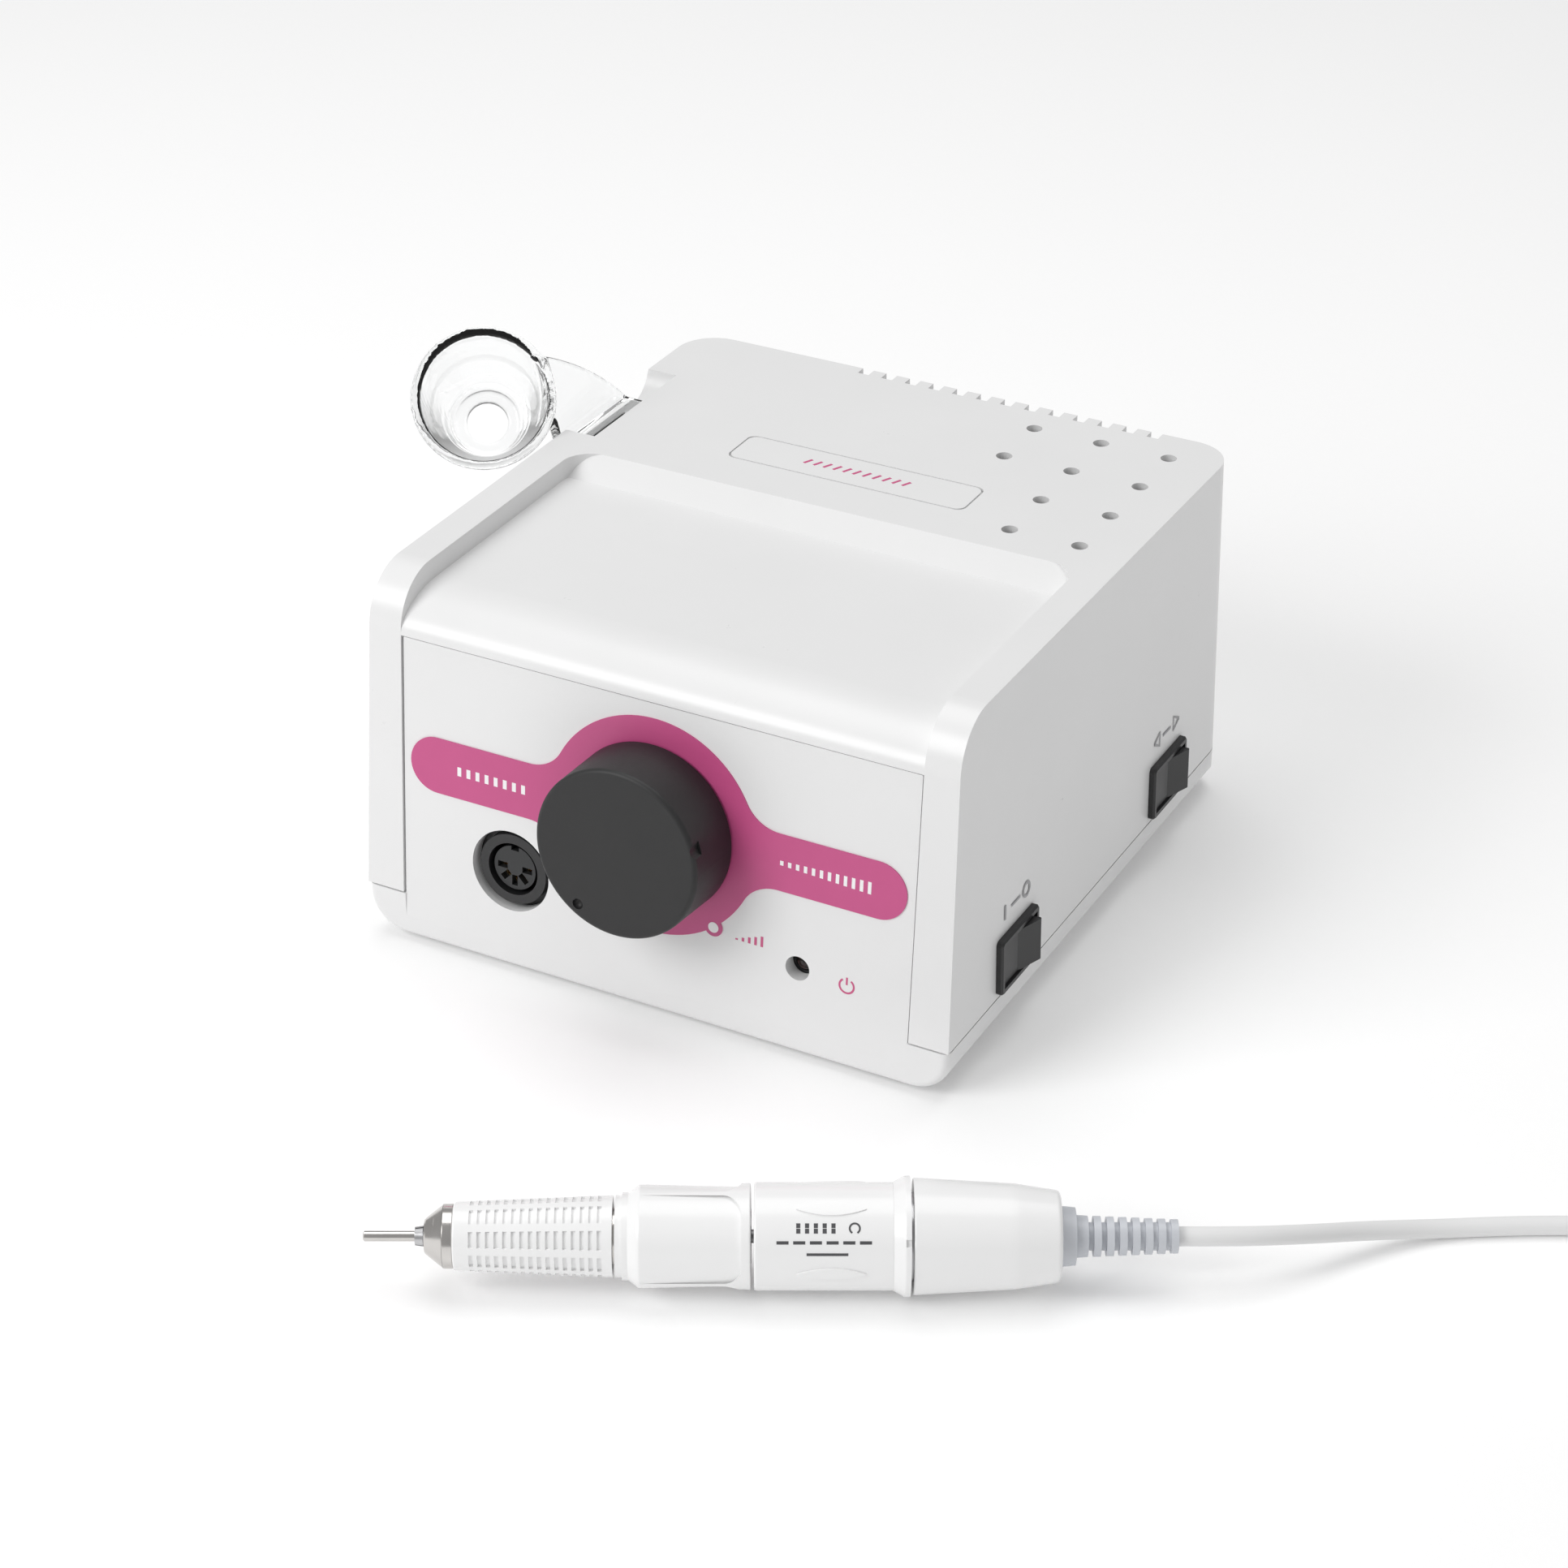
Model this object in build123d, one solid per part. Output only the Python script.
from build123d import *
import os
from math import cos, hypot, pi, radians, sin, tan

# Electric nail drill: a white control box with a speed knob, two side rockers and a clear
# handpiece holder, and a handpiece on a cord that ends in a five-pin plug.
# Millimetres. The origin is on the table under the middle of the box, +Z up, front toward -Y.

# ---------------------------------------------------------------- driving dimensions
# control box
case_width = 162.0            # at the split line
case_depth = 171.0            # at the split line
case_height = 99.0            # top face above the table
wall = 2.5
foot_height = 1.8
foot_recess = 0.8
pan_height = 12.7
front_lean = 4.2              # degrees the front leans back
side_draft = 1.15             # degrees the other walls lean in
rear_corner_radius = 11.0
nose_radius = 14.0            # front top corner of the two side ribs
pan_corner_radius = 10.0
pan_edge_radius = 2.0
seam = 0.45                   # gap along every parting line

# tray in the front half of the top
tray_width = 141.0            # also the width of the panel opening
tray_depth = 5.5
tray_back_y = 4.5
tray_back_slope = 6.0
tray_corner_radius = 8.0
lip_run = 17.0                # depth of the rounded lip between tray and panel
panel_top_z = 85.0

# front panel and what it carries
panel_thickness = 2.5
panel_inset = 0.5
panel_drop = 7.0              # the panel's plane runs down this far below the split line
flange_width = 2.0
flange_thickness = 1.8
flange_gap = 0.2              # between the flange and the ribs
back_gap = 0.3                # between the flange and the parts behind it
knob_z = 52.3
decal_radius = 28.5
decal_thickness = 0.3
arm_half_length = 68.0
arm_width = 15.0
arm_blend_radius = 10.0
dot_radius = 2.4
dot_angle = -52.0             # place of the full-speed dot on the disc's rim
knob_radius = 21.8
knob_height = 16.8
knob_gap = 0.7
knob_edge_radius = 1.2
knob_dimple_angle = 238.0
knob_dimple_radius = 1.4
pot_shaft_radius = 3.0
pot_bush_radius = 3.5
pot_bush_out = 2.4
pot_body_radius = 12.0
pot_body_length = 10.0
socket_x = -39.5
socket_z = 28.8
socket_hole_radius = 10.9
socket_ring_radius = 9.4
socket_bore_radius = 7.0
socket_block_radius = 5.9
socket_recess = 1.2
socket_depth = 9.0
contact_circle_radius = 3.5
contact_radius = 1.1
contact_bore_radius = 0.8
contact_slot = (2.8, 1.6)      # opening over each contact, along and across the radius
contact_mask = 1.6            # depth of those openings
led_x = 40.3
led_z = 25.3
led_hole_radius = 3.2
led_radius = 2.5
led_setback = 0.2             # the dome's tip behind the panel's inner face

# rocker switches on the right-hand side
switch_length = 21.0
switch_width = 15.0
bezel_thickness = 1.8
switch_body_length = 19.2
switch_body_width = 13.0
switch_body_depth = 15.0
rocker_length = 17.4
rocker_width = 11.4
rocker_half_angle = 10.0      # degrees each way from level
rocker_pivot_depth = 3.0
switch_z = 23.2
switch_places = {"power_switch": -49.0, "direction_switch": 43.0}

# top of the box
vent_radius = 2.1
vent_pitch_x = 18.9
vent_pitch_y = 18.6
vent_x = 65.6                 # rightmost column
vent_y = 71.2                 # rearmost row
label_length = 66.5
label_width = 13.4
label_thickness = 1.0
label_center = (-1.6, 26.0)
fin_count = 13
fin_pitch = 7.0
fin_slot = 3.2
fin_height = 22.0
fin_center_x = 15.0

# clear holder and its seat in the left top edge
seat_front_y = 13.0
seat_length = 34.0
seat_depth = 7.0
seat_width = 8.6
seat_end_radius = 9.0
slot_length = 20.0
slot_width = 3.4
slot_clearance = 0.2
cup_out = 16.5                # mouth's middle left of the box
cup_y = 2.4
cup_up = 9.4                  # and above it
cup_turn = 31.0               # degrees the cup's axis points left of straight back
cup_dip = 38.0                # degrees it points down
cup_mouth_radius = 19.1
cup_end_radius = 10.9
cup_length = 31.0
cup_wall = 2.4
cup_hole_radius = 5.5
arm_thickness = 3.3
arm_inset = 1.0               # the arm stands this far outside the seat
arm_sections = [(0.2, 25.8, 7.4), (17.0, 16.4, 3.0), (33.0, 2.9, 0.0)]  # from the front: place, height, lean
foot_plate = 2.4
tab_depth = 12.0

# rear wall
inlet_x = -45.0
inlet_z = 32.0
inlet_length = 27.0
inlet_width = 19.5
fuse_x = -8.0
fuse_radius = 6.0

# inside the box
boss_radius = 4.0
screw_radius = 1.5
screw_head_radius = 3.0
screw_length = 22.0
boss_x = 66.0
boss_front_y = -66.0
boss_rear_y = 68.0
foot_radius = 6.5
foot_inset = 32.0
core_size = (58.0, 30.0, 48.0)
core_center = (-30.0, 28.0)
winding_wall = 8.0
ear_thickness = 1.6
core_screw_radius = 1.4
board_size = (84.0, 46.0, 1.6)
board_center = (4.0, -20.0)
board_z = 22.0
post_radius = 3.0
sink_size = (34.0, 12.0, 30.0)
sink_fins = 6
capacitor_radius = 9.0
capacitor_height = 30.0

# handpiece, measured along its axis from the tip of the chuck
shank_radius = 1.175          # 3/32 inch shank
shank_out = 11.4
shank_in = 26.0
chuck_radius = 2.3
chuck_out = 2.1
cone_start = (2.1, 4.1)
cone_end = (6.2, 7.0)
ring_radius = 7.1
ring_end = 8.5
grip_end = 43.3
grip_start_radius = 7.5
grip_end_radius = 8.95
grip_bore_radius = 6.4
slot_rows = 16
slot_columns = 9
slot_turn = 39.3              # puts a column of slots on the face that looks up and forward
slot_row_pitch = 1.864
slot_row_start = 12.6
slot_row_width = 0.95
slot_sink = 0.55
slot_rib_angle = 11.0
collar_end = 73.4
collar_radius = 11.6
collar_shoulder_radius = 11.3
collar_shoulder = (45.8, 49.0)
collar_panels = 3
collar_panel_angle = 112.0
collar_panel_sink = 0.8       # at the rear end; the recess runs out at the shoulder
collar_panel_corner = 4.0
collar_panel_turn = 59.3      # turns the first recess to the face that looks up and forward
collar_wall = 2.0
collar_gap = 0.55
body_start = 74.1
body_end = 104.4
body_radius = 11.8
body_ridges = 5
ridge_turn = 23.3             # puts a pair of ridges either side of the face that looks up and forward
ridge_height = 0.35
ridge_length = 15.2
ridge_middle = 16.8           # from the front of the rear housing
ridge_arc = 20.0
flare_end = 108.2
flare_radius = 13.2
cap_start = 108.8
cap_end = 141.1
cap_start_radius = 12.8
cap_mid = (131.0, 11.55)
cap_end_radius = 10.0
cap_round = 1.2
boot_collar_radius = 6.65
boot_neck_radius = 4.7
boot_ribs = 7
boot_rib_pitch = 2.82
boot_rib_radius = 4.45
boot_tip_radius = 3.75
boot_gap_radius = 3.1
handpiece_yaw = 28.1
tip_place = (7.5, -201.0)
housing_wall = 1.6
spindle_radius = 3.0
bearing_radius = 5.5
bearing_width = 4.0
motor_radius = 9.6
motor_start = 74.5
front_tube_length = 14.0      # past the grip sleeve
motor_end = 126.0
magnet_wall = 2.2
rotor_radius = 5.6
running_gap = 0.05
press_gap = 0.02
cam_travel = 1.2
cam_length = 7.0
cam_gap = 1.5

# cord
cord_radius = 2.2
cord_route = [
    (154.64, -122.43, 13.2),
    (166.0, -116.36, 13.1),
    (177.7, -104.6, 10.0),
    (188.2, -90.6, 5.4),
    (200.4, -78.8, 2.3),
    (214.1, -70.2, 2.3),
    (228.4, -62.4, 2.3),
    (242.4, -55.6, 2.3),
    (255.0, -51.6, 2.3),
    (266.1, -50.2, 2.3),
]
coil_center = (278.0, -78.0)
coil_turn_radius = 24.0       # middle of the three turns that lie side by side
coil_layers = 3
coil_slack = 0.2
plug_back = 12.5              # the plug's back end, in front of the coil's middle
plug_radius = 7.5
plug_body_length = 22.0
plug_boot_length = 18.0
plug_shell_radius = 6.6
plug_shell_wall = 0.5
plug_shell_length = 8.6
pin_radius = 0.72
pin_length = 8.0

# ---------------------------------------------------------------- shared places
split_z = foot_height + pan_height
tray_floor_z = case_height - tray_depth
far = 3 * case_depth          # past anything, for through cuts


def front_y(z):
    """Front face of the side ribs at height z."""
    return -case_depth / 2 + (z - split_z) * tan(radians(front_lean))


def side_x(z):
    """Outer face of the right-hand wall at height z."""
    return case_width / 2 - (z - split_z) * tan(radians(side_draft))


def rear_y(z):
    """Outer face of the rear wall at height z."""
    return case_depth / 2 - (z - split_z) * tan(radians(side_draft))


lean = radians(front_lean)
draft = radians(side_draft)
panel_plane = Plane(
    origin=(0, front_y(knob_z) + panel_inset / cos(lean), knob_z),
    x_dir=(1, 0, 0),
    z_dir=(0, -cos(lean), sin(lean)),
)


def on_panel(x, z, out=0.0):
    """Frame on the panel's face at x and height z, out millimetres in front of it."""
    return panel_plane * Pos(x, (z - knob_z) / cos(lean), out)


def on_side(y, z):
    """Frame on the right-hand wall: x runs to the back, y up and z out of the wall."""
    return Plane(origin=(side_x(z), y, z), x_dir=(0, 1, 0), z_dir=(cos(draft), 0, sin(draft)))


def on_rear(x, z):
    """Frame on the rear wall: x runs to the left of the box and z out of the wall."""
    return Plane(origin=(x, rear_y(z), z), x_dir=(-1, 0, 0), z_dir=(0, cos(draft), sin(draft)))


slot_x = -side_x(case_height) + wall + slot_width / 2 - 2 * slot_clearance
flange_depth = wall - panel_inset + flange_gap
panel_back = flange_depth + flange_thickness + back_gap
slot_y = seat_front_y + 6.0 + slot_length / 2
boss_places = [(x, y) for x in (-boss_x, boss_x) for y in (boss_front_y, boss_rear_y)]
pan_floor_z = foot_height + wall
core_z = pan_floor_z - wall / 2 + 2 * wall
board_top = board_z + board_size[2]
front_tube_end = grip_end + front_tube_length
coil_outer = coil_turn_radius + 3 * cord_radius + coil_slack
coil_inner = coil_turn_radius - 3 * cord_radius - coil_slack
plug_x = coil_center[0] + coil_turn_radius + 2 * cord_radius
plug_back_y = coil_center[1] - plug_back
plug_frame = Pos(plug_x, plug_back_y, plug_radius) * Rot(0, 0, -90)
handpiece_frame = Pos(tip_place[0], tip_place[1], flare_radius) * Rot(0, 0, handpiece_yaw)
cup_frame = Plane(
    origin=(-case_width / 2 - cup_out, cup_y, case_height + cup_up),
    x_dir=(cos(radians(cup_turn)), sin(radians(cup_turn)), 0),
    z_dir=(
        -sin(radians(cup_turn)) * cos(radians(cup_dip)),
        cos(radians(cup_turn)) * cos(radians(cup_dip)),
        -sin(radians(cup_dip)),
    ),
)

# ---------------------------------------------------------------- small helpers
UP = (Align.CENTER, Align.CENTER, Align.MIN)
DOWN = (Align.CENTER, Align.CENTER, Align.MAX)


def outline(points, rounds=()):
    """Closed face through the points; rounds pairs a point's number with its corner radius."""
    face = make_face(Polyline(*points, close=True))
    for number, radius in rounds:
        corner = face.vertices().sort_by_distance((*points[number], 0))[0]
        face = fillet(corner, radius)
    return face


def turned(points, rounds=()):
    """Solid turned about the X axis from corners given as (along, radius)."""
    return revolve(outline(points, rounds), Axis.X)


def rod(start, end, radius):
    """Solid cylinder on the X axis."""
    return turned([(start, 0), (end, 0), (end, radius), (start, radius)])


def pipe(start, end, radius, bore):
    """Hollow cylinder on the X axis."""
    return turned([(start, bore), (end, bore), (end, radius), (start, radius)])


def column(radius, height, align=UP):
    return Cylinder(radius, height, align=align)


def block(x, y, z, align=UP):
    return Box(x, y, z, align=align)


def spread(count, radius, start=0.0, span=360.0):
    """Places on a circle in the local XY plane."""
    step = span / count if span == 360.0 else span / (count - 1)
    return [Rot(0, 0, start + step * i) * Pos(radius, 0, 0) for i in range(count)]


# ---------------------------------------------------------------- control box shell
def case_block(inset, bottom):
    """Outer form of the cover from height bottom up, pulled in by inset on every face."""
    top = case_height - inset
    side = outline(
        [
            (front_y(bottom) + inset, bottom),
            (front_y(top) + inset, top),
            (rear_y(top) - inset, top),
            (rear_y(bottom) - inset, bottom),
        ],
        [(1, nose_radius - inset)],
    )
    lengthways = extrude(Plane.YZ * side, amount=case_width, both=True)
    low, high = side_x(bottom) - inset, side_x(top) - inset
    front = outline([(-low, bottom), (low, bottom), (high, top), (-high, top)])
    form = lengthways & extrude(Plane.XZ * front, amount=case_depth, both=True)
    corners = form.edges().filter_by(
        lambda edge: edge.center().Y > case_depth / 4 and abs(edge.tangent_at(0.5).Z) > 0.9
    )
    return fillet(corners, rear_corner_radius - inset)


def tray_space(grow):
    """Space above the tray and its rounded front lip, grown outward by grow."""
    front = front_y(panel_top_z)
    low = panel_top_z - grow
    floor = tray_floor_z - grow
    lip = EllipticalCenterArc(
        (front + lip_run, low), lip_run - grow, tray_floor_z - panel_top_z, 90, arc_size=90
    )
    over = case_height + 2 * wall
    rest = Polyline(
        (front + grow, low),
        (front - nose_radius, low),
        (front - nose_radius, over),
        (tray_back_y + grow, over),
        (tray_back_y + grow, case_height),
        (tray_back_y - tray_back_slope + grow, floor),
        (front + lip_run, floor),
    )
    side = make_face([lip, rest])
    space = extrude(Plane.YZ * side, amount=tray_width / 2 + grow, both=True)
    half = tray_width / 2 + grow
    back = tray_back_y + grow
    corner = (2, tray_corner_radius), (3, tray_corner_radius)
    plan = outline([(-half, -far), (half, -far), (half, back), (-half, back)], corner)
    return space & extrude(plan, amount=far)


def seat_space(grow):
    """Cut-out for the holder's foot in the left top edge, with a curved rear end."""
    front = seat_front_y - grow
    back = seat_front_y + seat_length
    floor = case_height - seat_depth - grow
    over = case_height + 2 * wall
    end = TangentArc((back, floor), (back + seat_end_radius + grow, case_height), tangent=(1, 0))
    rest = Polyline(
        (back + seat_end_radius + grow, case_height),
        (back + seat_end_radius + grow, over),
        (front, over),
        (front, floor),
        (back, floor),
    )
    inner = -side_x(case_height) + seat_width + grow
    side = make_face([end, rest])
    return Pos(inner, 0, 0) * extrude(Plane.YZ * side, amount=-(seat_width + nose_radius + grow))


def top_cover():
    """White upper shell: top, sides, rear wall, tray, holder seat and screw bosses."""
    inner = case_block(wall, split_z - wall)
    cavity = inner - tray_space(wall) - seat_space(wall)
    shell = case_block(0, split_z) - tray_space(0) - seat_space(0)
    bosses = [
        Pos(x, y, split_z + seam) * column(boss_radius, case_height - split_z - seam)
        for x, y in boss_places
    ]
    for boss in bosses:
        cavity -= boss & inner
    shell -= cavity
    shell -= panel_opening()
    shell -= slot_cut()
    for y in switch_places.values():
        shell -= on_side(y, switch_z) * Box(
            switch_body_length + 2 * slot_clearance, switch_body_width + 2 * slot_clearance, 4 * wall
        )
    for place in vent_places():
        shell -= place * Cylinder(vent_radius, 4 * wall)
    shell -= label_space(seam)
    shell -= rear_fin_slots()
    shell -= on_rear(inlet_x, inlet_z) * Box(inlet_length, inlet_width, 4 * wall)
    shell -= on_rear(fuse_x, inlet_z) * Cylinder(fuse_radius, 4 * wall)
    for x, y in boss_places:
        shell -= Pos(x, y, split_z) * column(screw_radius - running_gap, screw_length)
    return shell


def panel_opening():
    """Opening between the side ribs that the front panel fills."""
    depth = wall + 1.0
    side = outline(
        [
            (front_y(split_z) - far, split_z - 1),
            (front_y(split_z - 1) + depth, split_z - 1),
            (front_y(panel_top_z) + depth, panel_top_z),
            (front_y(panel_top_z) - far, panel_top_z),
        ]
    )
    return extrude(Plane.YZ * side, amount=tray_width / 2, both=True)


def slot_cut():
    floor = case_height - seat_depth
    return Pos(slot_x, slot_y, floor) * Box(slot_width, slot_length, 4 * wall)


def vent_places():
    """Vent holes: two full-width rows at the rear and a two-column block at the right."""
    places = []
    for row in range(4):
        columns = 3 if row < 2 else 2
        for number in range(columns):
            places.append(Pos(vent_x - number * vent_pitch_x, vent_y - row * vent_pitch_y, case_height))
    return places


def label_space(grow):
    size = RectangleRounded(label_length + 2 * grow, label_width + 2 * grow, 2.5)
    return Pos(*label_center, case_height - label_thickness) * extrude(size, amount=2 * wall)


def rear_fin_slots():
    """Row of upright slots that starts in the rear top edge."""
    slots = []
    for number in range(fin_count):
        x = fin_center_x + (number - (fin_count - 1) / 2) * fin_pitch
        slots.append(Pos(x, rear_y(case_height), case_height) * Box(fin_slot, 2 * wall + 1.5, 2 * fin_height))
    return slots


def base_and_panel():
    """White lower tray in one piece with the front panel, with screw columns and board posts."""
    low = foot_height

    def across(inset, top):
        half = case_width / 2 - inset
        corner = pan_corner_radius - inset
        face = outline(
            [(-half, low + inset), (half, low + inset), (half, top), (-half, top)],
            [(0, corner), (1, corner)],
        )
        return extrude(Plane.XZ * face, amount=case_depth / 2 - inset, both=True)

    def plan(inset, top):
        face = Rectangle(case_width - 2 * inset, case_depth - 2 * inset)
        face = fillet(face.vertices().group_by(Axis.Y)[-1], rear_corner_radius - inset)
        return extrude(face, amount=top)

    pan = across(0, split_z - seam)
    lower_edges = pan.edges().filter_by(Axis.X).group_by(Axis.Z)[0]
    pan = fillet(lower_edges, pan_edge_radius) & plan(0, split_z)
    pan -= across(wall, split_z + wall) & plan(wall, split_z + wall)
    for x, y in boss_places:
        pan += Pos(x, y, low + wall / 2) * column(boss_radius + 0.6, pan_height - wall / 2 - seam)
    for x, y in board_posts():
        pan += Pos(x, y, low + wall / 2) * column(post_radius, board_z - low - wall / 2)
    for x, y in core_feet():
        pan += Pos(x, y, low + wall / 2) * column(post_radius, 2 * wall)
    for x, y in boss_places:
        pan -= Pos(x, y, low) * column(screw_radius + 0.15, pan_height)
        pan -= Pos(x, y, low) * column(screw_head_radius + 0.2, wall)
    for x, y in foot_places():
        pan -= Pos(x, y, low) * column(foot_radius / 2, wall)
        pan -= Pos(x, y, low) * column(foot_radius + 0.2, foot_recess)
    for x, y in core_feet():
        pan -= Pos(x, y, pan_floor_z) * column(core_screw_radius, core_z)
    front = on_panel(0, split_z) * Box(
        tray_width - 2 * seam, 2 * panel_drop, wall, align=(Align.CENTER, Align.CENTER, Align.MIN)
    )
    return pan - front + front_panel()


def foot_places():
    x = case_width / 2 - foot_inset
    y = case_depth / 2 - foot_inset
    return [(-x, -y), (x, -y), (-x, y), (x, y)]


def rubber_feet():
    """Four rubber feet, each let into the pan with a stem through it."""
    height = foot_height + foot_recess
    foot = chamfer(column(foot_radius, height).edges().group_by(Axis.Z)[0], 0.5)
    foot += Pos(0, 0, height) * column(foot_radius / 2 - running_gap, wall - foot_recess)
    return [Pos(x, y, 0) * foot for x, y in foot_places()]


def case_screws():
    """Four self-tapping screws from below, one in each corner boss."""
    screw = Pos(0, 0, foot_height + 0.4) * column(screw_head_radius, wall - 0.4)
    screw += Pos(0, 0, foot_height + wall) * column(screw_radius - 2 * running_gap, screw_length)
    cross = Box(3.6, 0.8, 1.6) + Box(0.8, 3.6, 1.6)
    screw -= Pos(0, 0, foot_height + 0.4) * cross
    return [Pos(x, y, 0) * screw for x, y in boss_places]


# ---------------------------------------------------------------- front panel group
def front_panel():
    """Leaning front wall of the base, with a flange that lies behind the side ribs."""
    low = (split_z - panel_drop - knob_z) / cos(lean)
    high = (panel_top_z - seam - knob_z) / cos(lean)
    plate = Pos(0, (low + high) / 2, 0) * block(tray_width - 2 * seam, high - low, panel_thickness, DOWN)
    flange_low = (split_z + 2.0 - knob_z) / cos(lean)
    flange_high = (panel_top_z - 2 * wall - knob_z) / cos(lean)
    middle = Pos(0, (flange_low + flange_high) / 2, -flange_depth)
    flange = middle * block(
        tray_width + 2 * flange_width, flange_high - flange_low, flange_thickness, DOWN
    )
    bridge = middle * block(tray_width - 2 * seam, flange_high - flange_low, flange_depth)
    panel = panel_plane * (plate + flange + bridge)
    deep = 6 * panel_thickness
    panel -= on_panel(0, knob_z) * Cylinder(pot_bush_radius + 0.15, deep)
    panel -= on_panel(socket_x, socket_z) * Cylinder(socket_hole_radius, deep)
    panel -= on_panel(led_x, led_z) * Cylinder(led_hole_radius, deep)
    return panel


def front_decal():
    """Pink film: a disc round the knob with two rounded arms, joined by hollow curves."""
    arms = RectangleRounded(2 * arm_half_length, arm_width, arm_width / 2 - 0.01)
    shape = Circle(decal_radius) + arms
    joints = shape.vertices().filter_by(lambda point: abs(hypot(point.X, point.Y) - decal_radius) < 0.01)
    joints = joints.filter_by(lambda point: abs(abs(point.Y) - arm_width / 2) < 0.01)
    shape = fillet(joints, arm_blend_radius)
    angle = radians(dot_angle)
    shape += Pos(decal_radius * cos(angle), decal_radius * sin(angle)) * Circle(dot_radius)
    shape -= Circle(pot_bush_radius + 2.5)
    return panel_plane * extrude(shape, amount=decal_thickness)


def speed_knob():
    """Charcoal knob, hollow behind, with a hub that fits the flatted shaft."""
    base = decal_thickness + knob_gap
    body = Pos(0, 0, base) * Cone(knob_radius + 0.3, knob_radius, knob_height, align=UP)
    body = fillet(body.edges().group_by(Axis.Z)[-1], knob_edge_radius)
    hollow = Pos(0, 0, base) * column(knob_radius - 2.5, knob_height - 3.0)
    hub = Pos(0, 0, base + 3.0) * column(pot_shaft_radius + 2.5, knob_height - 3.0)
    body -= hollow - hub
    body -= Pos(0, 0, base) * flatted_shaft(pot_shaft_radius + running_gap, knob_height - 3.0)
    turn = Rot(0, 0, knob_dimple_angle) * Pos(knob_radius - 3.2, 0, base + knob_height)
    body -= turn * Sphere(knob_dimple_radius)
    grip = Rot(0, 0, 17.0) * Pos(knob_radius + 1.6, 0, base + knob_height)
    body -= grip * Cylinder(2.4, 7.0)
    return panel_plane * body


def flatted_shaft(radius, length):
    """Round bar with one flat, standing on the local XY plane."""
    return column(radius, length) - Pos(radius * 1.5, 0, 0) * block(2 * radius, 3 * radius, length)


def speed_pot_shaft():
    """Shaft of the speed control, from its wiper to the knob."""
    top = decal_thickness + knob_gap + knob_height - 3.0 - 0.3
    flat = knob_height - 5.0
    shaft = Pos(0, 0, top - flat) * flatted_shaft(pot_shaft_radius, flat)
    shaft += Pos(0, 0, -panel_back - 4.0) * column(pot_shaft_radius - 0.3, top - flat + panel_back + 4.0)
    shaft += Pos(0, 0, -panel_back - 5.0) * column(pot_body_radius - 3.0, 1.2)
    return panel_plane * shaft


def speed_pot_body():
    """Housing of the speed control with its threaded bush through the panel."""
    body = Pos(0, 0, -panel_back) * column(pot_body_radius, pot_body_length, DOWN)
    space = column(pot_body_radius - 1.5, pot_body_length - 4.0, DOWN)
    body -= Pos(0, 0, -panel_back - 2.0) * space
    body += Pos(0, 0, -panel_back) * column(pot_bush_radius, panel_back + pot_bush_out)
    body -= Pos(0, 0, -panel_back - 4.0) * column(pot_shaft_radius - 0.3 + running_gap, far)
    lug = Pos(0, -pot_body_radius - 1.0, -panel_back - 2.0) * Box(12.0, 5.0, 1.6)
    return panel_plane * (body + lug)


def speed_pot_nut():
    """Hexagon nut on the bush, hidden by the knob."""
    nut = extrude(RegularPolygon(5.6, 6), amount=2.0) - Cylinder(pot_bush_radius + running_gap, far)
    return panel_plane * nut


# ---------------------------------------------------------------- plug socket and lamp
def contact_places(start=180.0):
    """Five places on half a circle, 45 degrees apart, open side up."""
    return spread(5, contact_circle_radius, start, 180.0)


def socket_shell():
    """Black ring of the plug socket with its square rear flange."""
    ring = Pos(0, 0, -socket_recess) * column(socket_ring_radius, socket_depth + 3.0, DOWN)
    ring += Pos(0, 0, -panel_back) * block(24.0, 24.0, 2.0, DOWN)
    ring -= Pos(0, 0, -socket_recess) * column(socket_bore_radius, socket_depth, DOWN)
    return on_panel(socket_x, socket_z) * ring


def socket_insert():
    """Grey contact block that stands in the ring, with a key slot and five holes."""
    top = -socket_recess - 0.9
    floor = -socket_recess - socket_depth
    insert = Pos(0, 0, floor) * column(socket_block_radius, top - floor)
    insert -= Pos(0, socket_block_radius, floor) * block(2.2, 2.4, top - floor)
    for place in contact_places():
        insert -= place * Pos(0, 0, top) * block(contact_slot[0], contact_slot[1], contact_mask, DOWN)
        hole = column(contact_radius + running_gap, socket_depth - 2.0 - contact_mask, DOWN)
        insert -= place * Pos(0, 0, top - contact_mask) * hole
    return on_panel(socket_x, socket_z) * insert


def socket_contacts():
    """Five tubular contacts in the block."""
    top = -socket_recess - 1.2 - contact_mask
    contact = Pos(0, 0, top) * column(contact_radius, socket_depth - 2.5 - contact_mask, DOWN)
    contact -= Pos(0, 0, top) * column(contact_bore_radius, socket_depth - 4.0 - contact_mask, DOWN)
    return [on_panel(socket_x, socket_z) * place * contact for place in contact_places()]


def power_led():
    """Five millimetre lamp, set back in its hole."""
    dome = -panel_thickness - led_setback
    lamp = Pos(0, 0, dome - led_radius) * Sphere(led_radius)
    lamp += Pos(0, 0, dome - led_radius) * column(led_radius, 6.0, DOWN)
    lamp += Pos(0, 0, dome - led_radius - 5.0) * column(led_radius + 0.5, 1.0, DOWN)
    return on_panel(led_x, led_z) * lamp


def led_holder():
    """Clip ring that holds the lamp behind the panel."""
    ring = Pos(0, 0, -panel_back) * column(led_radius + 2.5, 3.0, DOWN)
    ring -= Pos(0, 0, -panel_back) * column(led_radius + running_gap, 3.0, DOWN)
    return on_panel(led_x, led_z) * ring


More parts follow.
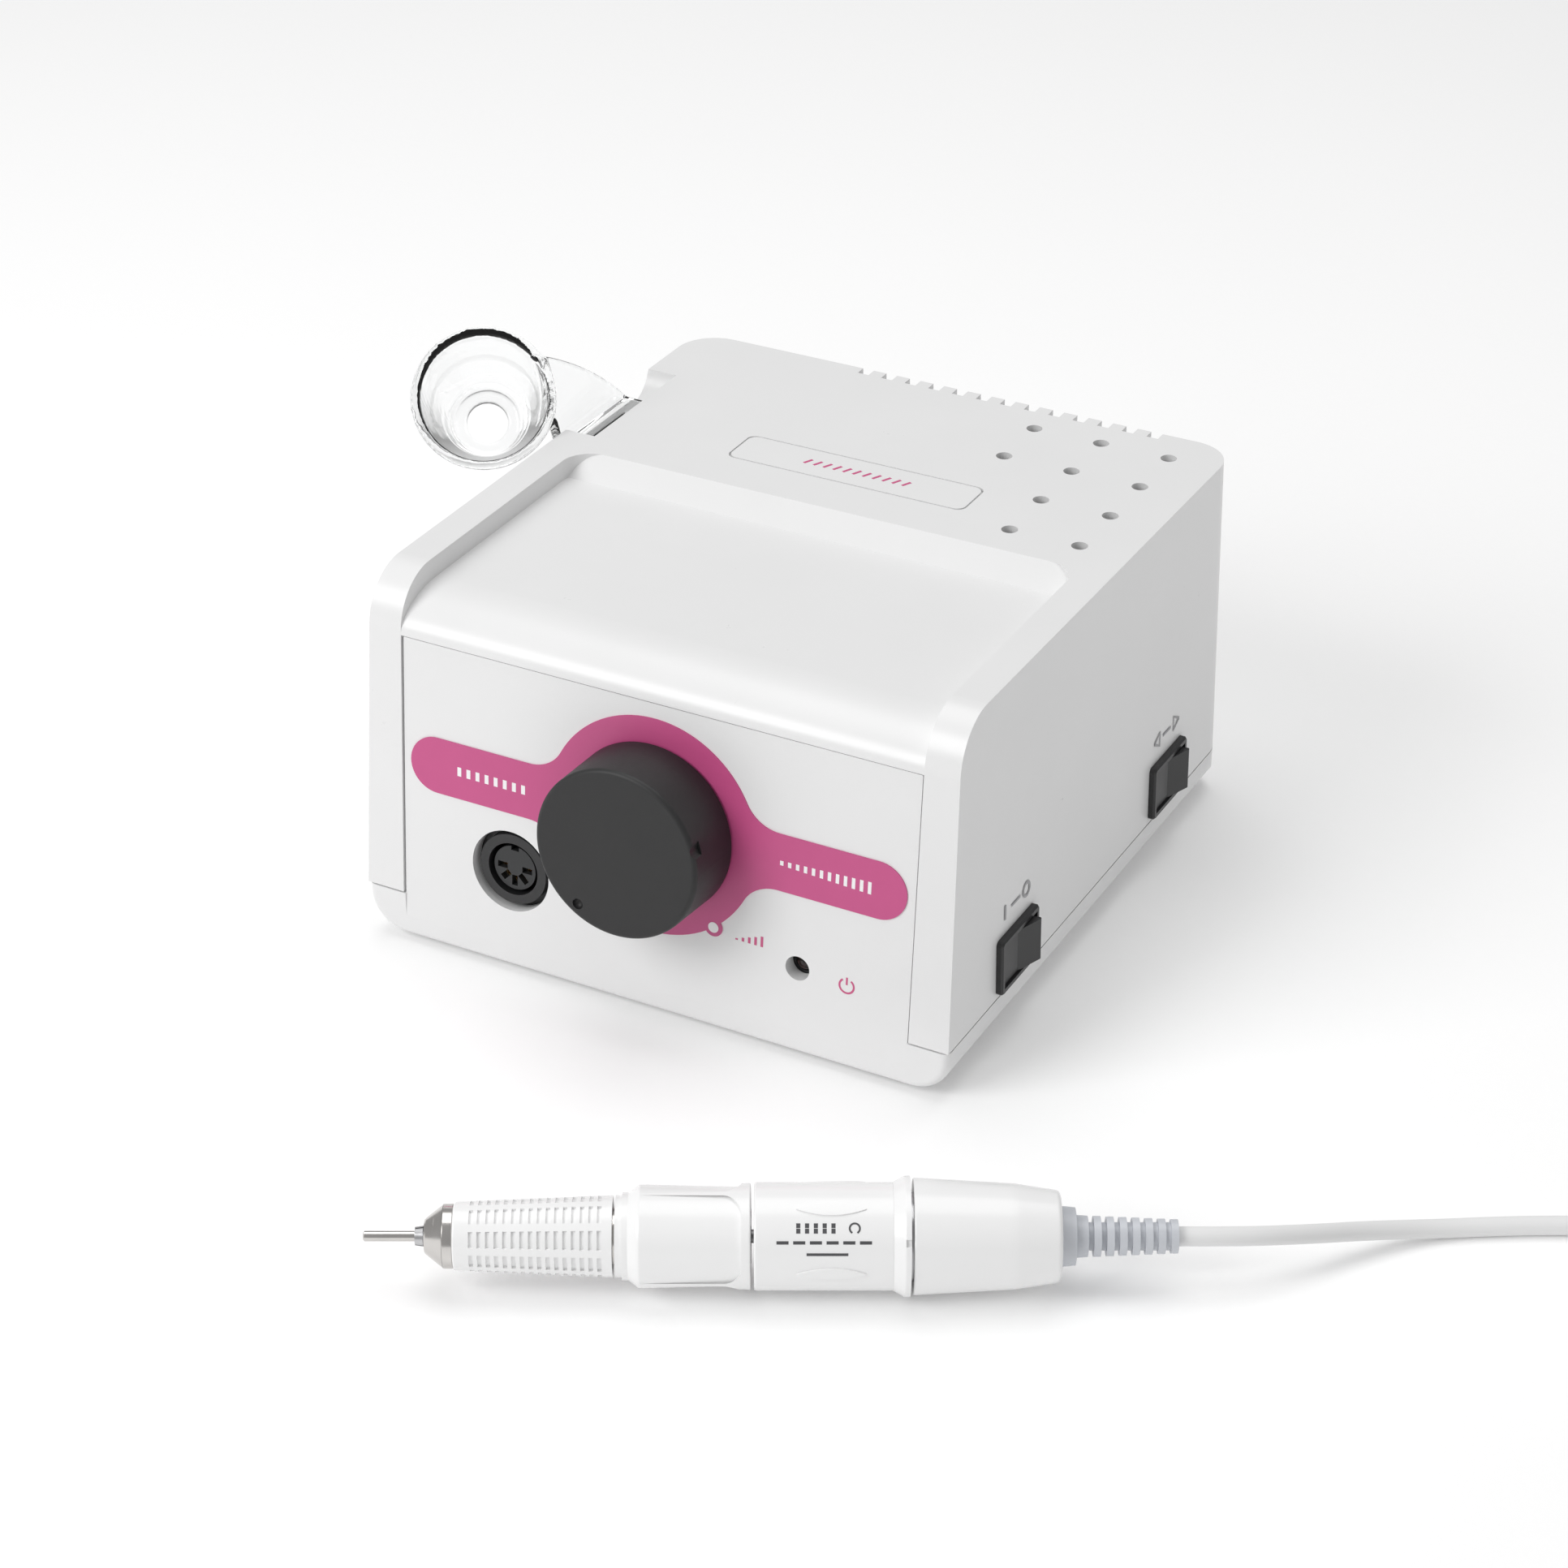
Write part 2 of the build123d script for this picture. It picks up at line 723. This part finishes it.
# ---------------------------------------------------------------- rocker switches
def rocker_profile():
    """Side view of a rocker held level: two faces that meet in a shallow valley."""
    half = rocker_length / 2
    rise = half * tan(radians(rocker_half_angle))
    valley = 1.2
    keel = -rocker_pivot_depth - 2.6
    return outline(
        [(0, valley), (half, valley + rise), (half - 1.4, -0.6), (2.2, keel), (-2.2, keel),
         (-half + 1.4, -0.6), (-half, valley + rise)],
        [(1, 0.6), (6, 0.6)],
    )


def switch_rocker(y):
    """Rocker with its front half pressed in."""
    body = extrude(Plane.XZ * rocker_profile(), amount=rocker_width / 2, both=True)
    pin = Pos(0, 0, -rocker_pivot_depth) * Rot(90, 0, 0) * Cylinder(1.0, rocker_width + 0.8)
    body = Pos(0, 0, rocker_pivot_depth) * (body + pin)
    tilted = Pos(0, 0, -rocker_pivot_depth) * Rot(0, -rocker_half_angle, 0) * body
    return on_side(y, switch_z) * tilted


def switch_housing(y):
    """Black frame and body of a rocker switch, clipped into the wall."""
    frame = extrude(RectangleRounded(switch_length, switch_width, 1.2), amount=bezel_thickness)
    frame = chamfer(frame.edges().group_by(Axis.Z)[-1], 0.5)
    body = frame + block(switch_body_length, switch_body_width, switch_body_depth, DOWN)
    space = Pos(0, 0, bezel_thickness) * block(
        rocker_length + 0.8, rocker_width + 0.5, bezel_thickness + 8.0, DOWN
    )
    body -= space
    pivot = Pos(0, 0, -rocker_pivot_depth) * Rot(90, 0, 0)
    body -= pivot * Cylinder(1.0 + running_gap, rocker_width + 1.2)
    return on_side(y, switch_z) * body


def switch_terminals(y):
    """Two flat tabs at the back of a switch."""
    tab = Pos(0, 0, -switch_body_depth) * block(0.8, 4.8, 8.0, DOWN)
    return [on_side(y, switch_z) * Pos(x, 0, 0) * tab for x in (-5.0, 5.0)]


# ---------------------------------------------------------------- top and rear
def top_label_plate():
    """Smooth white plate let into the top, left blank."""
    return label_space(0) & Pos(0, 0, case_height - far) * block(far, far, far)


def handpiece_holder():
    """Clear moulding: a tapered cup, its arm, a foot in the seat and a tab in the slot."""
    mouth, end = cup_mouth_radius, cup_end_radius
    cup = cup_frame * Cone(mouth, end, cup_length, align=UP)
    bore = cup_frame * Cone(mouth - cup_wall, end - cup_wall, cup_length - cup_wall, align=UP)
    hole = cup_frame * column(cup_hole_radius, far)
    foot_z = case_height - seat_depth + slot_clearance
    front = seat_front_y + slot_clearance * 2
    back = seat_front_y + seat_length - slot_clearance * 2
    outer_x = -side_x(case_height) - arm_inset
    sections = []
    for place, height, lean_out in arm_sections:
        face = outline(
            [
                (outer_x - arm_thickness, foot_z),
                (outer_x, foot_z),
                (outer_x - lean_out, foot_z + height),
                (outer_x - lean_out - arm_thickness, foot_z + height),
            ],
            [(2, 1.2), (3, 1.2)],
        )
        sections.append(Pos(0, front + place, 0) * (Plane.XZ * face))
    arm = loft(sections)
    foot = Pos(outer_x - arm_thickness, (front + back) / 2, foot_z) * Box(
        seat_width + arm_inset + arm_thickness - slot_clearance,
        back - front,
        foot_plate,
        align=(Align.MIN, Align.CENTER, Align.MIN),
    )
    tab = Pos(slot_x, slot_y, foot_z) * block(
        slot_width - 2 * slot_clearance, slot_length - 2 * slot_clearance, tab_depth, DOWN
    )
    outer = cup + arm
    return outer - bore - hole + foot + tab


def mains_inlet():
    """Appliance inlet in the rear wall."""
    body = extrude(RectangleRounded(inlet_length + 4, inlet_width + 4, 2.0), amount=2.0)
    body += block(inlet_length - 0.4, inlet_width - 0.4, 20.0, DOWN)
    space = RectangleRounded(inlet_length - 4.0, inlet_width - 4.0, 2.0)
    body -= Pos(0, 0, -15.0) * extrude(space, amount=30.0)
    inlet = on_rear(inlet_x, inlet_z) * body
    for pin in mains_inlet_pins():
        inlet -= pin
    return inlet


def mains_inlet_pins():
    """Three flat pins of the inlet."""
    pin = Pos(0, 0, -19.0) * block(2.0, 4.0, 14.0)
    places = [(-7.0, -2.0), (0, 2.0), (7.0, -2.0)]
    return [on_rear(inlet_x, inlet_z) * Pos(x, y, 0) * pin for x, y in places]


def fuse_holder():
    """Round screw-in fuse holder beside the inlet."""
    body = column(fuse_radius - 0.2, 28.0, DOWN) + column(fuse_radius + 1.8, 2.5)
    body -= Pos(0, 0, 2.5) * Box(8.0, 1.2, 2.0)
    return on_rear(fuse_x, inlet_z) * body


# ---------------------------------------------------------------- inside the box
def core_feet():
    x, y = core_center
    reach = core_size[0] / 2 + 5.0
    return [(x - reach, y), (x + reach, y)]


def transformer_core():
    """Laminated core with two fixing ears."""
    width, depth, height = core_size
    core = block(width, depth, height)
    window = (width - 3 * winding_wall) / 2
    for side in (-1, 1):
        middle = side * (winding_wall + window) / 2
        core -= Pos(middle, 0, winding_wall) * block(window, depth, height - 2 * winding_wall)
    for side in (-1, 1):
        ear = Pos(side * (width / 2 + 4.5), 0, 0) * block(11.0, 14.0, ear_thickness)
        core += ear - Pos(side * (width / 2 + 5.0), 0, 0) * Cylinder(core_screw_radius + 0.2, 8.0)
    return Pos(*core_center, core_z) * core


def transformer_winding():
    """Wound bobbin round the middle limb."""
    width, depth, height = core_size
    window = (width - 3 * winding_wall) / 2
    gap = 0.3
    outside = block(winding_wall + 2 * (window - gap), depth + 16.0, height - 2 * winding_wall - 2 * gap)
    outside = fillet(outside.edges().filter_by(Axis.Z), 4.0)
    inside = block(winding_wall + gap, depth + gap, far)
    return Pos(*core_center, core_z + winding_wall + gap) * (outside - inside)


def transformer_screws():
    head_z = core_z + ear_thickness
    screw = Pos(0, 0, head_z) * column(2.8, 1.8)
    screw += Pos(0, 0, pan_floor_z) * column(core_screw_radius - running_gap, head_z - pan_floor_z)
    return [Pos(x, y, 0) * screw for x, y in core_feet()]


def board_posts():
    x = board_size[0] / 2 - 5.0
    y = board_size[1] / 2 - 5.0
    return [(board_center[0] + i * x, board_center[1] + j * y) for i in (-1, 1) for j in (-1, 1)]


def circuit_board():
    """Speed control board on four posts."""
    return Pos(*board_center, board_z) * block(*board_size)


def heatsink():
    """Finned aluminium cooler on the board."""
    width, depth, height = sink_size
    base = block(width, 3.0, height)
    for number in range(sink_fins):
        x = -width / 2 + 1.0 + number * (width - 2.0) / (sink_fins - 1)
        base += Pos(x, depth / 2, 0) * block(2.0, depth, height)
    return Pos(board_center[0] + 18.0, board_center[1] + 6.0, board_top) * base


def power_transistor():
    """Drive transistor clamped to the cooler."""
    body = Pos(0, -1.5 - 2.3, 6.0) * block(10.0, 4.6, 15.0)
    legs = [Pos(x, -3.8, 0) * block(0.8, 0.5, 6.5) for x in (-2.5, 0, 2.5)]
    body = body + legs
    return Pos(board_center[0] + 18.0, board_center[1] + 6.0, board_top) * body


def filter_capacitor():
    """Upright smoothing capacitor."""
    can = fillet(column(capacitor_radius, capacitor_height).edges().group_by(Axis.Z)[-1], 1.0)
    return Pos(board_center[0] - 24.0, board_center[1] + 6.0, board_top) * can


# ---------------------------------------------------------------- handpiece
def bit_shank():
    """Plain polished shank held in the chuck."""
    start = -shank_out
    return turned(
        [(start, 0), (shank_in, 0), (shank_in, shank_radius), (start + 0.3, shank_radius), (start, 0.8)]
    )


def chuck():
    """Slotted collet that grips the shank."""
    jaw = turned(
        [
            (0, shank_radius + 0.01),
            (shank_in - 1.0, shank_radius + 0.01),
            (shank_in - 1.0, chuck_radius - 0.2),
            (chuck_out, chuck_radius - 0.2),
            (chuck_out - 0.3, chuck_radius),
            (0, chuck_radius - 0.25),
        ]
    )
    for number in range(3):
        jaw -= Rot(120 * number, 0, 0) * Pos(0, 0, chuck_radius) * Box(24.0, 0.3, 2 * chuck_radius)
    return jaw


def spindle():
    """Hollow spindle from the nose to the drive coupling, on two front bearings."""
    start = chuck_out + 0.4
    end = motor_start - 8.0
    bore = chuck_radius + running_gap - 0.2
    return turned(
        [(start, bore), (shank_in, bore), (shank_in, 1.0), (end, 1.0), (end, spindle_radius),
         (start, spindle_radius)]
    )


def nose_cone():
    """Short metal cone at the front, turned with a tube that carries the front bearings."""
    (x0, r0), (x1, r1) = cone_start, cone_end
    bore = spindle_radius + 0.3
    seat = bearing_radius + 0.02
    return turned(
        [(x0, bore), (x0 + 2.2, bore), (x0 + 2.2, seat), (front_tube_end, seat),
         (front_tube_end, grip_bore_radius - press_gap), (x1, grip_bore_radius - press_gap), (x1, r1),
         (x0 + 0.4, r0), (x0, r0 - 0.4)]
    )


def front_bearings():
    """Two ball bearings on the spindle, drawn as closed rings."""
    bearings = []
    for start in (cone_start[0] + 2.6, grip_end - 8.0):
        bearings.append(pipe(start, start + bearing_width, bearing_radius, spindle_radius + 0.02))
    return bearings


def nose_ring():
    """Polished ring between the cone and the sleeve."""
    return turned(
        [(cone_end[0] + 0.02, grip_bore_radius), (ring_end - 0.02, grip_bore_radius),
         (ring_end - 0.02, ring_radius), (cone_end[0] + 0.02, ring_radius)], [(2, 0.2), (3, 0.2)]
    )


def grip_radius(x):
    """Outer radius of the grip sleeve at x."""
    share = (x - ring_end) / (grip_end - ring_end)
    return grip_start_radius + share * (grip_end_radius - grip_start_radius)


def grip_sleeve():
    """White sleeve with rings of short finger slots."""
    sleeve = turned(
        [(ring_end, grip_bore_radius), (grip_end, grip_bore_radius), (grip_end, grip_end_radius),
         (ring_end, grip_start_radius)], [(3, 0.5)]
    )
    grooves = []
    for row in range(slot_rows):
        x = slot_row_start + row * slot_row_pitch
        floor = grip_radius(x) - slot_sink
        grooves.append(pipe(x - slot_row_width / 2, x + slot_row_width / 2, collar_radius, floor))
    ribs = []
    for number in range(slot_columns):
        angle = slot_turn + number * 360.0 / slot_columns
        width = 2 * grip_radius(grip_end) * sin(radians(slot_rib_angle / 2))
        ribs.append(Rot(angle, 0, 0) * Pos(ring_end, 0, 0) * Box(
            grip_end, width, 2 * collar_radius, align=(Align.MIN, Align.CENTER, Align.MIN)))
    rib_comb = ribs[0].fuse(*ribs[1:])
    for groove in grooves:
        sleeve -= groove - rib_comb
    return sleeve


def twist_collar():
    """White collar that is turned to open and close the chuck."""
    (x0, x1) = collar_shoulder
    start = grip_end + collar_gap
    bore = collar_radius - collar_wall
    collar = turned(
        [(start, bearing_radius + 1.8), (start + 1.5, bearing_radius + 1.8), (start + 1.5, bore),
         (collar_end, bore), (collar_end, collar_radius), (x1, collar_shoulder_radius),
         (x0, grip_end_radius), (start, grip_end_radius)],
        [(5, 1.5), (6, 1.0), (4, 0.4)],
    )
    for number in range(collar_panels):
        turn = Rot(collar_panel_turn + 360.0 / collar_panels * number, 0, 0)
        collar -= turn * collar_panel()
    return collar


def collar_panel():
    """Broad recess that starts at the shoulder, deepens rearward and ends in round corners."""
    start = collar_shoulder[0]
    end = collar_end - 2.0
    width = 2 * collar_radius * sin(radians(collar_panel_angle / 2))
    plan = Pos((start + end) / 2, 0) * RectangleRounded(end - start, width, collar_panel_corner)
    deep = extrude(plan, amount=2 * collar_radius)
    keep = turned(
        [(start, 0), (end, 0), (end, collar_radius - collar_panel_sink),
         (collar_shoulder[1], collar_shoulder_radius), (start, collar_radius)]
    )
    return deep - keep


def cam_ring():
    """Ring that the collar's cam pushes along to open the chuck."""
    start = front_tube_end + cam_gap
    outer = collar_radius - collar_wall - collar_gap
    return pipe(start, start + cam_length, outer, spindle_radius + 1.0)


def chuck_spring():
    """Spring that closes the chuck, drawn as its outer tube."""
    start = front_tube_end + cam_gap + cam_length + cam_travel + running_gap
    return pipe(start, body_start - 0.6, spindle_radius + 3.0, spindle_radius + 1.2)


def mid_body():
    """White rear housing with lens-shaped ridges."""
    wall_in = motor_radius + 0.1
    body = turned(
        [(body_start, wall_in), (body_end, wall_in), (body_end, body_radius), (body_start, body_radius)],
        [(3, 0.5)],
    )
    ridge = ridge_lens()
    for number in range(body_ridges):
        body += Rot(ridge_turn + 360.0 / body_ridges * number, 0, 0) * ridge
    return body - rod(0, cap_end, wall_in)


def ridge_lens():
    """One long lens that stands a little proud of the housing."""
    middle = body_start + ridge_middle
    sink = (ridge_arc**2 - (ridge_length / 2) ** 2) ** 0.5
    lens = Pos(middle, 0) * (Pos(0, -sink) * Circle(ridge_arc) & Pos(0, sink) * Circle(ridge_arc))
    tall = extrude(lens, amount=body_radius + ridge_height)
    return tall & rod(body_start, body_end, body_radius + ridge_height)


def flared_ring():
    """White ring at the back of the housing, flared out, with a key on each side."""
    ring = turned(
        [(body_end + 0.02, motor_radius + 0.1), (flare_end, motor_radius + 0.1), (flare_end, flare_radius),
         (flare_end - 1.2, flare_radius), (body_end + 0.02, body_radius)], [(3, 0.8)]
    )
    for number in range(4):
        turn = Rot(collar_panel_turn + 90.0 * number, 0, 0)
        ring -= turn * Pos(flare_end, 0, flare_radius) * Box(2.4, 1.6, 1.2)
    return ring


def rear_cap():
    """White screw-on cap over the back of the motor."""
    (x1, r1) = cap_mid
    bore = motor_radius + 0.1
    end = cap_end - wall
    return turned(
        [(cap_start, bore), (motor_end + 3.0, bore), (end, cap_end_radius - wall), (end, cord_radius + 1.2),
         (cap_end, cord_radius + 1.2), (cap_end, cap_end_radius), (x1, r1), (cap_start, cap_start_radius)],
        [(5, cap_round), (6, 14.0), (7, 0.4)],
    )


def motor_can():
    """Steel case of the motor."""
    return pipe(motor_start, motor_end, motor_radius, motor_radius - 1.0)


def motor_magnets():
    """Two curved magnets inside the case."""
    outer = motor_radius - 1.02
    ring = pipe(motor_start + 8.0, motor_end - 14.0, outer, outer - magnet_wall)
    gap = Pos((motor_start + motor_end) / 2, 0, 0) * Box(motor_end, 2 * outer, 3.0)
    return ring - gap


def motor_rotor():
    """Slotted rotor pressed on the motor shaft."""
    core = pipe(motor_start + 9.0, motor_end - 15.0, rotor_radius, 1.5)
    for number in range(7):
        core -= Rot(360.0 / 7 * number, 0, 0) * Pos(motor_start, 0, rotor_radius) * Box(
            motor_end, 1.2, 3.0, align=(Align.MIN, Align.CENTER, Align.CENTER)
        )
    return core


def motor_shaft():
    """Motor shaft with its commutator and the claw that drives the spindle."""
    shaft = rod(motor_start - 6.0, motor_end - 1.5, 1.5)
    shaft += pipe(motor_end - 14.0, motor_end - 7.0, 3.2, 1.4)
    shaft += pipe(motor_start - 8.0, motor_start - 3.0, spindle_radius, 1.4)
    return shaft


def motor_bearings():
    """Ball bearings at the two ends of the motor case."""
    front = pipe(motor_start + 1.0, motor_start + 5.0, motor_radius - 1.02, 1.52)
    rear = pipe(motor_end - 4.0, motor_end, motor_radius - 1.02, 1.52)
    return [front, rear]


def motor_brushes():
    """Two carbon brushes on the commutator."""
    length = motor_radius - 1.02 - 3.25
    brush = Pos(motor_end - 10.5, 0, 3.25) * block(4.0, 2.6, length - 0.1)
    return [brush, Rot(180, 0, 0) * brush]


def cord_boot():
    """Grey rubber strain relief with seven ribs."""
    start = cap_end + 0.05
    neck = start + 3.2
    first = start + 5.9
    profile = [(start - wall, cord_radius), (start - wall, cord_radius + 1.1), (start, cord_radius + 1.1),
               (start, boot_collar_radius), (neck, boot_collar_radius - 0.3), (neck, boot_neck_radius),
               (first, boot_neck_radius - 0.2)]
    for number in range(boot_ribs):
        share = number / (boot_ribs - 1)
        radius = boot_rib_radius + share * (boot_tip_radius - boot_rib_radius)
        x = first + number * boot_rib_pitch
        profile += [(x, boot_gap_radius), (x + 1.2, boot_gap_radius), (x + 1.2, radius),
                    (x + boot_rib_pitch, radius)]
    profile.append((first + boot_ribs * boot_rib_pitch, cord_radius))
    return turned(profile)


# ---------------------------------------------------------------- cord, coil and plug
def bend_radii(points):
    """Arc radius for each corner of the cord: 0.45 of its shorter run, as its turn allows."""
    radii = []
    for before, here, after in zip(points, points[1:], points[2:]):
        run_in = Vector(*here) - Vector(*before)
        run_out = Vector(*after) - Vector(*here)
        turn = radians(run_in.get_angle(run_out))
        radii.append(0.45 * min(run_in.length, run_out.length) / tan(turn / 2))
    return radii


def handpiece_cord():
    """Cord from the strain relief to the coil, straight runs joined by tangent arcs."""
    path = FilletPolyline(*cord_route, radius=bend_radii(cord_route))
    start = Plane(origin=path @ 0, z_dir=path % 0)
    tube = sweep(start * Circle(cord_radius), path=path)
    print("cord length to the coil", round(path.length, 1))
    return tube


def cord_coil():
    """Outer shape of the coiled part of the cord."""
    height = 2 * cord_radius * coil_layers + coil_slack
    ring = column(coil_outer, height) - column(coil_inner, height)
    ring = fillet(ring.edges().filter_by(GeomType.CIRCLE), cord_radius - 0.1)
    return Pos(*coil_center, 0) * ring


def plug_boot():
    """Tapered strain relief of the plug."""
    boot = turned([(0, 0), (plug_boot_length, 0), (plug_boot_length, 5.4), (0, cord_radius + 0.9)])
    return plug_frame * boot


def plug_body():
    """Black moulded grip of the plug."""
    start = plug_boot_length
    end = start + plug_body_length
    grip = turned([(start, 0), (end, 0), (end, plug_radius - 0.6), (start + 3.0, plug_radius),
                   (start, plug_radius - 1.5)], [(3, 1.5)])
    for number in range(5):
        x = start + 5.0 + number * 2.4
        grip -= pipe(x, x + 1.0, plug_radius + 1, plug_radius - 0.7)
    return plug_frame * grip


def plug_shell():
    """Metal shell round the five pins."""
    start = plug_boot_length + plug_body_length
    end = start + plug_shell_length
    return plug_frame * pipe(start, end, plug_shell_radius, plug_shell_radius - plug_shell_wall)


def plug_pins():
    """Five round pins in the plug."""
    start = plug_boot_length + plug_body_length
    pin = Pos(start, 0, 0) * Rot(0, 90, 0) * column(pin_radius, pin_length)
    pins = []
    for number in range(5):
        angle = 180 + 45 * number
        y = contact_circle_radius * cos(radians(angle))
        z = contact_circle_radius * sin(radians(angle))
        pins.append(plug_frame * Pos(0, y, z) * pin)
    return pins


# ---------------------------------------------------------------- write the parts
def save(name, shape):
    """Write one node; a list of separate pieces is written as one file."""
    pieces = list(shape) if isinstance(shape, (list, tuple)) else [shape]
    solids = [solid for piece in pieces for solid in piece.solids()]
    whole = solids[0] if len(solids) == 1 else Compound(children=solids)
    export_step(whole, f"parts/{name}.step")
    print(name, len(solids))


def in_handpiece(shape):
    pieces = shape if isinstance(shape, list) else [shape]
    return [handpiece_frame * piece for piece in pieces]


box_parts = {
    "top_cover": top_cover,
    "base_and_panel": base_and_panel,
    "rubber_feet": rubber_feet,
    "case_screws": case_screws,
    "front_decal": front_decal,
    "speed_knob": speed_knob,
    "speed_pot_shaft": speed_pot_shaft,
    "speed_pot_body": speed_pot_body,
    "speed_pot_nut": speed_pot_nut,
    "socket_shell": socket_shell,
    "socket_insert": socket_insert,
    "socket_contacts": socket_contacts,
    "power_led": power_led,
    "led_holder": led_holder,
    "top_label_plate": top_label_plate,
    "handpiece_holder": handpiece_holder,
    "mains_inlet": mains_inlet,
    "mains_inlet_pins": mains_inlet_pins,
    "fuse_holder": fuse_holder,
    "transformer_core": transformer_core,
    "transformer_winding": transformer_winding,
    "transformer_screws": transformer_screws,
    "circuit_board": circuit_board,
    "heatsink": heatsink,
    "power_transistor": power_transistor,
    "filter_capacitor": filter_capacitor,
    "handpiece_cord": handpiece_cord,
    "cord_coil": cord_coil,
    "plug_boot": plug_boot,
    "plug_body": plug_body,
    "plug_shell": plug_shell,
    "plug_pins": plug_pins,
}
switch_parts = {"housing": switch_housing, "rocker": switch_rocker, "terminals": switch_terminals}
handpiece_parts = {
    "bit_shank": bit_shank,
    "chuck": chuck,
    "spindle": spindle,
    "nose_cone": nose_cone,
    "front_bearings": front_bearings,
    "nose_ring": nose_ring,
    "grip_sleeve": grip_sleeve,
    "twist_collar": twist_collar,
    "cam_ring": cam_ring,
    "chuck_spring": chuck_spring,
    "mid_body": mid_body,
    "flared_ring": flared_ring,
    "rear_cap": rear_cap,
    "motor_can": motor_can,
    "motor_magnets": motor_magnets,
    "motor_rotor": motor_rotor,
    "motor_shaft": motor_shaft,
    "motor_bearings": motor_bearings,
    "motor_brushes": motor_brushes,
    "cord_boot": cord_boot,
}

os.makedirs("parts", exist_ok=True)
for name, make in box_parts.items():
    save(name, make())
for switch, place in switch_places.items():
    for piece, make in switch_parts.items():
        save(f"{switch}_{piece}", make(place))
for name, make in handpiece_parts.items():
    save(name, in_handpiece(make()))
